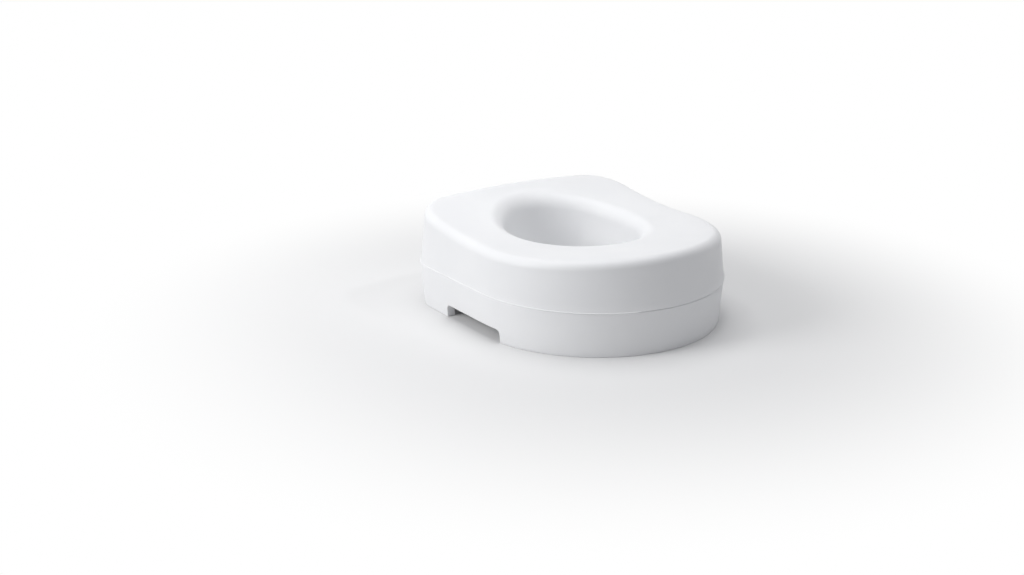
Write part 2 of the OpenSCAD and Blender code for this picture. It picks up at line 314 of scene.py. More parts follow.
# %% Sizes that both mouldings share, in metres
outer_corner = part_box("seat_shell")[1]
half_width, half_length = round(outer_corner.x, 4), round(outer_corner.y, 4)
corner_radius, bow_radius = 0.072, 0.930
nose_y = half_width - half_length
bow_y = half_length - bow_radius
corner_x = half_width - corner_radius
corner_y = bow_y + math.sqrt((bow_radius - corner_radius) ** 2 - corner_x**2)
corner_sweep = math.atan2(corner_y - bow_y, corner_x)
seam_z = 0.0635
rule_sizes = {
    "Half Width": half_width,
    "Nose Y": nose_y,
    "Corner Radius": corner_radius,
    "Corner X": corner_x,
    "Corner Y": corner_y,
    "Corner Sweep": corner_sweep,
    "Bow Radius": bow_radius,
    "Bow Y": bow_y,
    "Opening Y": 0.034,
    "Opening Half Width": 0.094,
    "Opening Half Length": 0.1135,
    "Saddle Height": 0.127,
    "Saddle Y": -0.004,
    "Saddle Front Radius": 1.800,
    "Saddle Rear Radius": 0.735,
}
card_labels = ("inset", "let_out", "share", "drop", "level", "drape")
print(f"rear corners turn {math.degrees(corner_sweep):.1f} degrees about ({corner_x:.4f}, {corner_y:.4f})")


# %% The tree that places a moulding's points
def moulding_tree():
    tree, inlet, outlet = new_tree("Moulding on rays", rule_sizes)
    size = {label: Term(tree, inlet.outputs[label]) for label in rule_sizes}

    def attribute(label, kind="FLOAT"):
        node = tree.nodes.new("GeometryNodeInputNamedAttribute")
        node.data_type = kind
        node.inputs["Name"].default_value = label
        return node.outputs["Attribute"]

    ray = tree.nodes.new("ShaderNodeSeparateXYZ")
    tree.links.new(attribute("ray", "FLOAT_VECTOR"), ray.inputs["Vector"])
    ray_x, ray_y = Term(tree, ray.outputs["X"]), Term(tree, ray.outputs["Y"])
    inset, let_out, share, drop, level, drape = (
        Term(tree, attribute(label)) for label in card_labels
    )
    eye_y = size["Opening Y"]
    across = ray_x.math("ABSOLUTE", ray_x)

    def to_arc(centre_x, centre_y, radius):
        """Distance along the ray to an arc of the outline."""
        off_x, off_y = 0.0 - centre_x, eye_y - centre_y
        along = off_x * across + off_y * ray_y
        return (along * along - off_x * off_x - off_y * off_y + radius * radius).root() - along

    zero = across * 0.0
    side = (size["Half Width"] - inset) / across.math("MAXIMUM", across, 0.001)
    side_y = eye_y + side * ray_y
    nose = to_arc(zero, size["Nose Y"], size["Half Width"] - inset)
    corner = to_arc(size["Corner X"], size["Corner Y"], size["Corner Radius"] - inset)
    bow = to_arc(zero, size["Bow Y"], size["Bow Radius"] - inset)
    turn = ray_y.math(
        "ARCTAN2", eye_y + corner * ray_y - size["Corner Y"], corner * across - size["Corner X"]
    )
    rear = mix(corner, bow, size["Corner Sweep"].below(turn))
    flank = mix(side, rear, size["Corner Y"].below(side_y))
    outer = mix(flank, nose, side_y.below(size["Nose Y"]))
    oval_x = ray_x / (size["Opening Half Width"] + let_out)
    oval_y = ray_y / (size["Opening Half Length"] + let_out)
    inner = 1.0 / (oval_x * oval_x + oval_y * oval_y).root()
    reach = mix(outer, inner, share)
    y = eye_y + reach * ray_y
    rise = y - size["Saddle Y"]
    bend = mix(size["Saddle Front Radius"], size["Saddle Rear Radius"], size["Saddle Y"].below(y))
    saddle = size["Saddle Height"] + rise * rise / (bend * 2.0)
    place = tree.nodes.new("ShaderNodeCombineXYZ")
    for slot, term in zip(place.inputs, (reach * ray_x, y, mix(level, saddle - drop, drape))):
        tree.links.new(term.socket, slot)

    move = tree.nodes.new("GeometryNodeSetPosition")
    tree.links.new(place.outputs["Vector"], move.inputs["Position"])
    weld = tree.nodes.new("GeometryNodeMergeByDistance")
    weld.inputs["Distance"].default_value = 0.00001
    realize = tree.nodes.new("GeometryNodeRealizeInstances")
    paint = tree.nodes.new("GeometryNodeSetMaterial")
    tree.links.new(inlet.outputs["Finish"], paint.inputs["Material"])
    chain(tree, inlet, move, weld, realize, paint, outlet)
    return tree


loft_tree = moulding_tree()
print("the rule takes", len(loft_tree.nodes), "nodes")

# %% [markdown]
# ## Cards of points
# A card is a grid: one column for each ray, one row for each point of the section. Both directions close
# on themselves, so that the moulding is one closed skin with an outside and an inside. The rays start at
# points that are spread evenly along the outline, because even angles would leave the far front coarse.

# %% Rays and cards
eye = np.array([0.0, rule_sizes["Opening Y"]])
ray_spacing, card_pitch = 0.0034, 0.001


def arc(centre_x, centre_y, radius, start, end, spacing):
    count = max(2, round(abs(end - start) * radius / spacing))
    turn = np.linspace(start, end, count, endpoint=False)
    return np.c_[centre_x + radius * np.cos(turn), centre_y + radius * np.sin(turn)]


def outline_rays(spacing):
    """Unit rays from the opening's middle: front, right side, rear, left side."""
    count = round((corner_y - nose_y) / spacing)
    side_y = np.linspace(nose_y, corner_y, count, endpoint=False)
    right = np.vstack([
        arc(0.0, nose_y, half_width, -math.pi / 2, 0.0, spacing),
        np.c_[np.full(count, half_width), side_y],
        arc(corner_x, corner_y, corner_radius, 0.0, corner_sweep, spacing),
        arc(0.0, bow_y, bow_radius, corner_sweep, math.pi / 2, spacing),
    ])
    rear = np.array([[0.0, bow_y + bow_radius]])
    left = right[:0:-1] * (-1, 1)
    points = np.vstack([right, rear, left]) - eye
    return points / np.linalg.norm(points, axis=1)[:, None]


def new_card(name, rays, values):
    """A closed grid whose points carry their ray and their place in the section as attributes."""
    columns, rows = rays.shape[:2]
    spots = np.stack(np.meshgrid(np.arange(columns), np.arange(rows), [0], indexing="ij"), -1) * card_pitch
    number = np.arange(columns * rows).reshape(columns, rows)
    beside, above = np.roll(number, -1, 0), np.roll(number, -1, 1)
    quads = np.stack([number, beside, np.roll(beside, -1, 1), above], -1).reshape(-1, 4)
    mesh = bpy.data.meshes.new(name)
    mesh.from_pydata(spots.reshape(-1, 3).tolist(), [], quads.tolist())
    flat = np.concatenate([rays, np.zeros((columns, rows, 1))], -1)
    ray_data = mesh.attributes.new("ray", "FLOAT_VECTOR", "POINT").data
    ray_data.foreach_set("vector", flat.ravel().astype(np.float32))
    for label in card_labels:
        spread = np.broadcast_to(values.get(label, 0.0), (columns, rows)).astype(np.float32)
        mesh.attributes.new(label, "FLOAT", "POINT").data.foreach_set("value", spread.ravel())
    card = bpy.data.objects.new(name, mesh)
    bpy.context.scene.collection.objects.link(card)
    return card


def as_table(points):
    """Lists of section points, given by name, as arrays."""
    labels = {label for point in points for label in point}
    return {label: np.array([point.get(label, 0.0) for point in points]) for label in labels}


def smooth(piece, angle):
    """Shade a piece smooth and keep the edges that turn by more than an angle crisp."""
    mesh = piece.data
    mesh.polygons.foreach_set("use_smooth", np.ones(len(mesh.polygons), bool))
    mesh.set_sharp_from_angle(angle=math.radians(angle))
    for label in ("ray", *card_labels):
        if label in mesh.attributes:
            mesh.attributes.remove(mesh.attributes[label])


print(len(outline_rays(ray_spacing)), "rays along the outline")

# %% [markdown]
# ## The seat moulding
# Its section starts at the seam, climbs the leaning wall, rolls over the outer edge, crosses the dished
# top, dips over the lip and runs down the funnel to the splash guard. From there it comes back inside at a
# wall's depth. A bead runs round the wall's foot: a round edge that turns under at the seam and a small
# hollow above it. The bead hides the joint between the two mouldings. The joint isn't even. On the left it
# is all but shut, and the bead shows as a thin line of light. At the right front it stands open by about a
# millimetre, and the gap draws a thin dark line. So the bead has two sections, and each ray takes a mix of
# both.

# %% Seat section
edge_roll, upper_lean, dish, lip_radius = 0.014, 0.0074, 0.0024, 0.0215
funnel_lean, guard_z, seat_wall, seam_step = 0.006, 0.006, 0.0035, 0.0012
bead_inset, wall_degrees = 0.0001, 8
bead_labels = ("gap", "depth", "foot", "shoulder", "hollow", "degrees")
shut_bead = dict(zip(bead_labels, (0.0003, 0.0016, 0.00025, 0.0008, 0.0008, 70)))
open_bead = dict(zip(bead_labels, (0.0014, 0.0036, 0.0002, 0.0005, 0.0006, 60)))


def on_bead(gap, depth, foot, shoulder, hollow, degrees):
    """The bead's section: a gap, a round foot, an upright face, a round shoulder and a hollow."""
    face, lean = bead_inset, math.radians(degrees)
    points = [(depth, 0.0), (depth, gap)]
    turns = np.linspace(0.0, math.pi / 2, 5)
    points += [(face + foot * (1 - math.sin(t)), gap + foot * (1 - math.cos(t))) for t in turns]
    face_top = gap + 2 * foot
    turns = np.linspace(0.0, lean, 7)
    points += [(face + shoulder * (1 - math.cos(t)), face_top + shoulder * math.sin(t)) for t in turns]
    across = face + shoulder - (shoulder + hollow) * math.cos(lean)
    up = face_top + (shoulder + hollow) * math.sin(lean)
    turns = np.linspace(lean, math.radians(wall_degrees), 6)[1:]
    points += [(across + hollow * math.cos(t), up - hollow * math.sin(t)) for t in turns]
    return [{"inset": inset, "level": seam_z + rise} for inset, rise in points]


def on_wall(depth, rise):
    inset = depth + seam_step + (upper_lean - seam_step) * rise
    return {"inset": inset, "drop": edge_roll, "level": seam_z, "drape": rise}


def on_roll(depth, degrees):
    turn, r = math.radians(degrees), edge_roll - depth
    inset, fall = upper_lean + edge_roll - r * math.cos(turn), edge_roll - r * math.sin(turn)
    return {"inset": inset, "drop": fall, "drape": 1.0}


def on_top(depth, share):
    inset, fall = upper_lean + edge_roll, dish * share * share * (3 - 2 * share) + depth
    return {"inset": inset, "let_out": lip_radius, "share": share, "drop": fall, "drape": 1.0}


def on_lip(depth, degrees):
    turn, r = math.radians(degrees), lip_radius - depth
    out, fall = lip_radius - r * math.sin(turn), dish + lip_radius - r * math.cos(turn)
    return {"let_out": out, "share": 1.0, "drop": fall, "drape": 1.0}


def on_funnel(depth, rise):
    out = depth - funnel_lean * (1 - rise)
    return {"let_out": out, "share": 1.0, "drop": dish + lip_radius, "level": guard_z, "drape": rise}


def seat_section(bead):
    wall = [on_wall(0.0, rise) for rise in (0.12, 0.2, 0.32, 0.46, 0.6, 0.74, 0.88)]
    outside = (
        [on_roll(0.0, a) for a in np.linspace(0, 90, 17)]
        + [on_top(0.0, s) for s in np.linspace(0, 1, 18)[1:-1]]
        + [on_lip(0.0, a) for a in np.linspace(0, 90, 17)]
        + [on_funnel(0.0, rise) for rise in (0.84, 0.66, 0.48, 0.32, 0.18, 0.08)]
    )
    round_guard = [
        {
            "let_out": seat_wall * (0.5 - 0.5 * math.cos(turn)) - funnel_lean,
            "share": 1.0,
            "level": guard_z + seat_wall * 0.5 * (1 - math.sin(turn)),
        }
        for turn in np.radians(np.linspace(0, 180, 9))
    ]
    inside = (
        [on_funnel(seat_wall, rise) for rise in (0.1, 0.3, 0.5, 0.75)]
        + [on_lip(seat_wall, a) for a in np.linspace(90, 0, 9)]
        + [on_top(seat_wall, s) for s in np.linspace(1, 0, 9)[1:-1]]
        + [on_roll(seat_wall, a) for a in np.linspace(90, 0, 9)]
        + [on_wall(seat_wall, rise) for rise in (0.66, 0.33, 0.0)]
    )
    return as_table(bead + wall + outside + round_guard + inside)


shut_section = seat_section(on_bead(**shut_bead))
open_section = seat_section(on_bead(**open_bead))
print(len(shut_section["drop"]), "points in the seat's section")

# %% Seat moulding
right_front, starts_to_open, fully_open = np.array([0.7, -0.714]), 0.46, 0.60
rays = outline_rays(ray_spacing)
opened = np.clip((rays @ right_front - starts_to_open) / (fully_open - starts_to_open), 0.0, 1.0)
opened = (opened * opened * (3 - 2 * opened))[:, None]
section = {label: mix(shut_section[label], open_section[label], opened) for label in shut_section}
seat = new_card("seat_moulding", np.repeat(rays[:, None, :], len(shut_section["drop"]), 1), section)
run_tree(seat, loft_tree, {**rule_sizes, "Finish": seat_white})
print(seat.name, len(seat.data.polygons), "faces before the ribs")

# %% [markdown]
# ## The base moulding
# The base carries the skirt, the spigot that the seat slips over, the platform inside it and the collar
# round the funnel. Its lower edge isn't level: two hand notches and a relief at the rear are cut into it.
# A Boolean would leave sharp rims there, so the lower edge is drawn as a path instead. The edge's rounding
# and the notch's deep lining then follow the path, and the rest of the section stands on it.

# %% Lower edge of the skirt
wall, edge_radius, top_radius, skirt_lean = 0.0032, 0.001, 0.0004, 0.0062
lining_depth, lining_wall, foot_radius = 0.010, 0.0028, 0.0015


def skirt_inset(z):
    return seam_step + (skirt_lean - seam_step) * (seam_z - z) / seam_z


def on_nose(turn, inset):
    return (half_width - inset) * math.sin(turn), nose_y - (half_width - inset) * math.cos(turn)


def on_side(y, inset):
    r = half_width - inset
    return (math.sqrt(r * r - (y - nose_y) ** 2) if y < nose_y else r), y


def on_corner(turn, inset):
    r = corner_radius - inset
    return corner_x + r * math.cos(turn), corner_y + r * math.sin(turn)


def on_rear(x, inset):
    r = corner_radius - inset
    if abs(x) > corner_x + r * math.cos(corner_sweep):
        return x, corner_y + math.sqrt(r * r - (abs(x) - corner_x) ** 2)
    return x, bow_y + math.sqrt((bow_radius - inset) ** 2 - x * x)


def arch_edge(lead, width, height, corner):
    """Half an arch: each point's distance, height, direction into the plastic, anchor and lining."""
    foot = foot_radius
    leg = [(q, 0.0, 0.0, 1.0) for q in np.linspace(lead - lining_wall, lead - foot, 3)[:-1]]
    for turn in np.radians(np.linspace(-90, 0, 5)):
        across, up = math.cos(turn), math.sin(turn)
        leg.append((lead - foot + foot * across, foot + foot * up, -across, -up))
    leg += [(lead, z, -1.0, 0.0) for z in np.linspace(foot, height - corner, 6)[1:]]
    anchors = np.linspace(lead - lining_wall, lead, len(leg))
    points = [(q, 0.0, 0.0, 1.0, q, False) for q in np.linspace(0.0, lead - lining_wall, 9)]
    points += [(*p, a, True) for p, a in zip(leg, anchors)]
    for turn in np.radians(np.linspace(180, 90, 9)[1:]):
        across, up = math.cos(turn), math.sin(turn)
        q = lead + corner + corner * across
        points.append((q, height - corner + corner * up, across, up, q, True))
    middle = lead + width / 2
    points += [(q, height, 0.0, 1.0, q, True) for q in np.linspace(lead + corner, middle, 22)[1:]]
    return points


def whole_edge(run, start, way, half, lined):
    """Columns along both halves of an arch, from a start on a run of the outline."""
    columns = []
    length = 2 * half[-1][0]
    other = half[-2::-1]
    mirrored = [(length - q, z, -slip, climb, length - a, deep) for q, z, slip, climb, a, deep in other]
    for q, z, slip, climb, anchor, deep in half + mirrored:
        columns.append((run, start + way * q, z, way * slip, climb, start + way * anchor, deep and lined))
    return columns


def plain_edge(run, marks):
    return [(run, mark, 0.0, 0.0, 1.0, mark, False) for mark in marks]


half_notch = arch_edge(lead=0.020, width=0.134, height=0.019, corner=0.007)
half_relief = arch_edge(lead=0.025, width=0.250, height=0.023, corner=0.012)
notch_y = 0.015
notch_start, relief_start = notch_y - half_notch[-1][0], half_relief[-1][0]
notch = whole_edge(on_side, notch_start, way=1.0, half=half_notch, lined=True)
relief = whole_edge(on_rear, relief_start, way=-1.0, half=half_relief, lined=False)
nose_end = math.acos((nose_y - notch_start) / half_width)
corner_end = math.acos((relief_start - corner_x) / corner_radius)
before = plain_edge(on_nose, np.linspace(0.0, nose_end, 64)[:-1])
after = plain_edge(on_side, np.linspace(notch[-1][1], corner_y, 8)[1:-1])
after += plain_edge(on_corner, np.linspace(0.0, corner_end, 24)[:-1])
print(len(before), "columns in half the nose,", len(notch), "in a notch,", len(relief), "in the relief")

# %% [markdown]
# Each column of the base now gets its section. Up the outside it blends from the path to the even rays, so
# that the upper skirt doesn't feel the notch. The platform's inner edge keeps its distance from the
# funnel, whose lean depends on the saddle's height at that ray.

# %% Base section
fit_gap, spigot_wall, spigot_taper = 0.0004, 0.0024, 0.001
platform_z, deck_z, collar_z, spigot_z = 0.027, 0.030, 0.044, 0.0715
even_z, skirt_levels, lining_drop = 0.034, (0.044, 0.054, 0.061), 0.0052


def funnel_out(point, z):
    """How far the funnel's outside is let out from the opening's oval at a height."""
    across, along = np.array(point) - eye
    half_across, half_along = rule_sizes["Opening Half Width"], rule_sizes["Opening Half Length"]
    scale = 1 / math.hypot(across / half_across, along / half_along)
    run = eye[1] + along * scale - rule_sizes["Saddle Y"]
    bend = rule_sizes["Saddle Rear Radius"] if run > 0 else rule_sizes["Saddle Front Radius"]
    lip_z = rule_sizes["Saddle Height"] + run * run / (2 * bend) - dish - lip_radius
    return seat_wall - funnel_lean * (lip_z - z) / (lip_z - guard_z)


def base_column(run, along, height, slip, climb, anchor, lined):
    """The section at one point of the lower edge, as places in the plane with their values."""
    deep = wall + lining_depth if lined else wall
    lining_z = platform_z - lining_drop
    if not lined:
        lining_z = max(lining_z, height + 2 * edge_radius)
    above = run(anchor, 0.0)

    def on_skirt(mark, z, depth):
        inset = skirt_inset(z) + depth
        return run(mark, inset), {"inset": inset, "level": z}

    def on_edge(offset, depth):
        return on_skirt(along + offset * slip, height + offset * climb, depth)

    def level_with(z, **values):
        return above, {"level": z, **values}

    def between(mark, z, share, depth):
        low_mark, low_z = along + edge_radius * slip, height + edge_radius * climb
        return on_skirt(low_mark + (mark - low_mark) * share, low_z + (z - low_z) * share, depth)

    def across(z, share, gap):
        return level_with(z, inset=skirt_inset(z) + wall, let_out=funnel_out(above, z) + gap, share=share)

    quarter = [(math.cos(t), math.sin(t)) for t in np.radians(np.linspace(0, 90, 5))]
    points = [on_edge(edge_radius * (1 - c), edge_radius * (1 - s)) for c, s in quarter]
    points += [between(anchor, even_z, share, 0.0) for share in (0.15, 0.4, 0.7, 1.0)]
    points += [on_skirt(anchor, z, 0.0) for z in skirt_levels]
    points += [on_skirt(anchor, seam_z - top_radius * (1 - s), top_radius * (1 - c)) for c, s in quarter]
    far_side = spigot_taper + spigot_wall
    spigot = [(0.0, seam_z), (spigot_taper, spigot_z), (far_side, spigot_z), (spigot_wall, seam_z)]
    points += [level_with(z, inset=seam_step + seat_wall + fit_gap + depth) for depth, z in spigot]
    points += [across(deck_z, share, fit_gap + spigot_wall) for share in (0.0, 0.35, 0.7, 1.0)]
    points += [across(collar_z, 1.0, fit_gap + spigot_wall), across(collar_z, 1.0, fit_gap)]
    points += [across(platform_z, share, fit_gap) for share in (1.0, 0.75, 0.5, 0.25, 0.0)]
    points += [on_skirt(anchor, lining_z, wall), on_skirt(anchor, lining_z, deep)]
    points.append(between(anchor, lining_z, 0.5, deep))
    points += [on_edge(edge_radius * (1 - s), deep - edge_radius * (1 - c)) for c, s in quarter]
    points.append(on_edge(0.0, deep / 2))
    return points


def base_grid():
    right = [base_column(*column) for column in before + notch + after]
    rear = [base_column(*column) for column in relief]
    left = [[((-x, y), values) for (x, y), values in column] for column in right[:0:-1]]
    grid = right + rear + left
    spots = np.array([[spot for spot, values in column] for column in grid]) - eye
    tables = [as_table([values for spot, values in column]) for column in grid]
    values = {label: np.array([table[label] for table in tables]) for label in tables[0]}
    return spots / np.linalg.norm(spots, axis=2)[:, :, None], values


print(len(base_column(*before[0])), "points in the base's section")

# %% Base moulding
base = new_card("base_moulding", *base_grid())
run_tree(base, loft_tree, {**rule_sizes, "Finish": base_white_with_painted_bounce})
print(base.name, len(base.data.polygons), "faces before the holes")

# %% [markdown]
# Eight towers stand on the platform, one for each screw. A screw is driven up through the tower's bore,
# and its head stops against a web near the tower's top. These are plain turned shapes, so a section spun
# round an axis makes them, and here a Boolean is the right tool: the cuts lie in flat plastic, and their
# rims are crisp on the real moulding too. A cutter is turned by half a step, so that its corners miss the
# edges of what it cuts and leave no slivers. The screws' places are read from the CAD node.


# %% Turned shapes and cuts
def turned(sections, places, steps=48, offset=0.0):
    """One mesh with a section of radius and height spun round the vertical at each place."""
    vertices, faces = [], []
    angles = (np.arange(steps) + offset) * 2 * math.pi / steps
    for section, (x, y) in zip(sections, places):
        start, size = len(vertices), len(section)
        for turn in angles:
            vertices += [(x + r * math.cos(turn), y + r * math.sin(turn), z) for r, z in section]
        for i in range(steps):
            one, two = start + i * size, start + (i + 1) % steps * size
            faces += [(one + j, two + j, two + j + 1, one + j + 1) for j in range(size - 1)]
    mesh = bpy.data.meshes.new("turned")
    mesh.from_pydata(vertices, [], faces)
    shape = bmesh.new()
    shape.from_mesh(mesh)
    bmesh.ops.remove_doubles(shape, verts=shape.verts, dist=0.000001)
    bmesh.ops.recalc_face_normals(shape, faces=shape.faces)
    shape.to_mesh(mesh)
    shape.free()
    tool = bpy.data.objects.new("turned", mesh)
    bpy.context.scene.collection.objects.link(tool)
    return tool


def settle(piece):
    """Replace a piece's mesh by what its modifiers make of it."""
    mesh = bpy.data.meshes.new_from_object(piece.evaluated_get(bpy.context.evaluated_depsgraph_get()))
    piece.modifiers.clear()
    old, piece.data = piece.data, mesh
    bpy.data.meshes.remove(old)
    mesh.name = piece.name


def combine(piece, tool, operation):
    modifier = piece.modifiers.new(operation, "BOOLEAN")
    modifier.operation, modifier.object, modifier.solver = operation, tool, "MANIFOLD"
    settle(piece)
    bpy.data.meshes.remove(tool.data)


def screw_places(reach=0.012):
    """Middle of each screw in the plane: points of the CAD node within a reach belong to one screw."""
    spots = np.array([v.co[:2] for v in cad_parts["shell_screws"].data.vertices])
    places = []
    while len(spots):
        near = np.linalg.norm(spots - spots[0], axis=1) < reach
        cluster = spots[near]
        places.append(tuple((cluster.min(0) + cluster.max(0)) / 2))
        spots = spots[~near]
    return places


places = screw_places()
print(len(places), "screws, the first at", np.round(places[0], 4))

# %% Towers, bores and stem holes
tower_z, tower_radius, tower_chamfer, tower_foot_z = 0.060, 0.0085, 0.0004, 0.0285
screw_seat_z, bore_radius, shank_hole_radius = 0.056, 0.0055, 0.0021
stem_hole_radius, stem_offset = 0.00315, 0.015
below_platform, above_deck, above_tower = 0.026, 0.031, 0.062


def plug(radius, low, high):
    """The section of a plain cylinder."""
    return [(0.0, low), (radius, low), (radius, high), (0.0, high)]


tower = plug(tower_radius, tower_foot_z, tower_z - tower_chamfer)[:3]
tower += [(tower_radius - tower_chamfer, tower_z), (0.0, tower_z)]
bore = plug(bore_radius, below_platform, screw_seat_z)[:3]
bore += plug(shank_hole_radius, screw_seat_z, above_tower)[1:]
stem_hole = plug(stem_hole_radius, below_platform, above_deck)
pad_turns = {"front_left_pad": -40, "front_right_pad": 40, "rear_left_pad": 90, "rear_right_pad": 90}
pad_spots = {}
for node in pad_turns:
    low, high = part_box(node)
    pad_spots[node] = ((low.x + high.x) / 2, (low.y + high.y) / 2)
stems = []
for node, (x, y) in pad_spots.items():
    turn = math.radians(pad_turns[node])
    for reach in (-stem_offset, stem_offset):
        stems.append((x + reach * math.cos(turn), y + reach * math.sin(turn)))
combine(base, turned([tower] * len(places), places), "UNION")
cutters = [bore] * len(places) + [stem_hole] * len(stems)
combine(base, turned(cutters, places + stems, offset=0.5), "DIFFERENCE")
base.data.materials.clear()
base.data.materials.append(base_white_with_painted_bounce)
smooth(base, 40)
print(base.name, len(base.data.polygons), "faces with towers and holes")

# %% [markdown]
# Under the seat's top, eight ribs brace it between the wall and the funnel, and each rib carries a boss
# that takes a screw. They have to end inside the curved skin, not short of it and not through it. A fan of
# rays, cast from the boss in the rib's plane, finds the skin's inside, and the rib's edge lies half a wall
# behind each hit.

# %% Ribs and bosses under the top
rib_depth, rib_thickness, boss_radius = 0.034, 0.0026, 0.0065
boss_hole_z, boss_hole_top = tower_z - 0.001, 0.079


def rib_plate(skin, place):
    """A flat plate in the plane of the opening's ray through a place, half a wall into the skin."""
    outward = (Vector(place) - Vector(eye)).normalized().to_3d()
    aside = outward.cross((0, 0, 1)) * rib_thickness / 2
    top = skin.ray_cast(Vector((*place, tower_z)), (0, 0, 1))[0].z + seat_wall / 2
    start = Vector((*place, top - rib_depth))
    edge = []
    for turn in np.radians(np.linspace(0, 180, 37)):
        way = outward * math.cos(turn) + Vector((0, 0, math.sin(turn)))
        edge.append(skin.ray_cast(start, way)[0] + way * seat_wall / 2)
    size = len(edge)
    faces = [tuple(range(size)), tuple(reversed(range(size, 2 * size)))]
    faces += [(i, size + i, size + (i + 1) % size, (i + 1) % size) for i in range(size)]
    return [point + aside for point in edge] + [point - aside for point in edge], faces, top


def ribs_and_bosses(piece):
    skin = BVHTree.FromObject(piece, bpy.context.evaluated_depsgraph_get())
    shape, bosses, holes = bmesh.new(), [], []
    for place in places:
        points, faces, top = rib_plate(skin, place)
        corners = [shape.verts.new(point) for point in points]
        for face in faces:
            shape.faces.new([corners[i] for i in face])
        bosses.append(plug(boss_radius, tower_z, top))
        holes.append(plug(shank_hole_radius, boss_hole_z, boss_hole_top))
    bmesh.ops.recalc_face_normals(shape, faces=shape.faces)
    mesh = bpy.data.meshes.new("ribs")
    shape.to_mesh(mesh)
    shape.free()
    plates = bpy.data.objects.new("ribs", mesh)
    bpy.context.scene.collection.objects.link(plates)
    combine(piece, plates, "UNION")
    combine(piece, turned(bosses, places), "UNION")
    combine(piece, turned(holes, places, steps=32, offset=0.5), "DIFFERENCE")


ribs_and_bosses(seat)
seat.data.materials.clear()
seat.data.materials.append(seat_white)
smooth(seat, 50)
print(seat.name, len(seat.data.polygons), "faces with ribs and bosses")

# %% [markdown]
# ## Screws
# The screws are all alike, so one is made and Geometry Nodes put a copy at each place. The copies become
# real at the end of the tree, because an exported model keeps no instances. The head is domed with a cross
# in it, cut by a Boolean.

# %% One screw
head_radius, head_height, dome_degrees = 0.004, 0.0028, 74
shank_radius, tip_start, tip_end = 0.002, 0.0205, 0.0222
cross_length, cross_width, cross_height, cross_z = 0.0046, 0.0011, 0.0032, -0.0030


def one_screw():
    turns = np.radians(np.linspace(0, dome_degrees, 8))
    dome = [(head_radius * math.sin(t), -head_height * math.cos(t)) for t in turns]
    shank = [(head_radius, 0.0), (shank_radius, 0.0), (shank_radius, tip_start), (0.0, tip_end)]
    screw = turned([dome + shank], [(0.0, 0.0)], steps=40)
    screw.name = "screw"
    cross = bmesh.new()
    for x, y in ((cross_length, cross_width), (cross_width, cross_length)):
        shape = Matrix.Translation((0, 0, cross_z)) @ Matrix.Diagonal((x, y, cross_height, 1))
        bmesh.ops.create_cube(cross, size=1.0, matrix=shape)
    mesh = bpy.data.meshes.new("cross")
    cross.to_mesh(mesh)
    cross.free()
    blade = bpy.data.objects.new("cross", mesh)
    bpy.context.scene.collection.objects.link(blade)
    modifier = screw.modifiers.new("cross", "BOOLEAN")
    modifier.operation, modifier.object = "DIFFERENCE", blade
    modifier.solver, modifier.use_self = "EXACT", True
    settle(screw)
    bpy.data.meshes.remove(mesh)
    smooth(screw, 40)
    return screw


screw = one_screw()
print("one screw has", len(screw.data.polygons), "faces")


# %% Screws at their places
def copies_tree():
    tree, inlet, outlet = new_tree("Copies at points", {"Height": 0.0})
    tree.interface.new_socket("Copy", in_out="INPUT", socket_type="NodeSocketObject")
    info = tree.nodes.new("GeometryNodeObjectInfo")
    tree.links.new(inlet.outputs["Copy"], info.inputs["Object"])
    lift = tree.nodes.new("ShaderNodeCombineXYZ")
    tree.links.new(inlet.outputs["Height"], lift.inputs["Z"])
    raise_points = tree.nodes.new("GeometryNodeSetPosition")
    tree.links.new(lift.outputs["Vector"], raise_points.inputs["Offset"])
    put = tree.nodes.new("GeometryNodeInstanceOnPoints")
    tree.links.new(info.outputs["Geometry"], put.inputs["Instance"])
    realize = tree.nodes.new("GeometryNodeRealizeInstances")
    paint = tree.nodes.new("GeometryNodeSetMaterial")
    tree.links.new(inlet.outputs["Finish"], paint.inputs["Material"])
    chain(tree, inlet, raise_points, put, realize, paint, outlet)
    return tree


mesh = bpy.data.meshes.new("screws")
mesh.from_pydata([(x, y, 0.0) for x, y in places], [], [])
screws = bpy.data.objects.new("screws", mesh)
bpy.context.scene.collection.objects.link(screws)
run_tree(screws, copies_tree(), {"Height": screw_seat_z, "Finish": zinc_steel, "Copy": screw})
bpy.data.meshes.remove(screw.data)
print(screws.name, len(screws.data.polygons), "faces")

# %% [markdown]
# ## Rubber pads
# Each pad is a rounded bar of rubber with two stems that snap into the platform. Its sole is grooved so
# that it grips when it is wet. The body is a stack of rings, and a tree cuts the row of grooves into it, so
# that their pitch, width and depth stay inputs that can be changed.

# %% Pad body
pad_length, pad_width, pad_thick, sole_radius, pad_bevel = 0.056, 0.020, 0.005, 0.0012, 0.0002
stem_radius, stem_root_z, neck_z, stem_tip_z = 0.003, 0.0025, 0.008, 0.014
stem_head = [(0.0042, neck_z), (0.0042, 0.0098), (0.0036, 0.0112), (0.0018, stem_tip_z)]


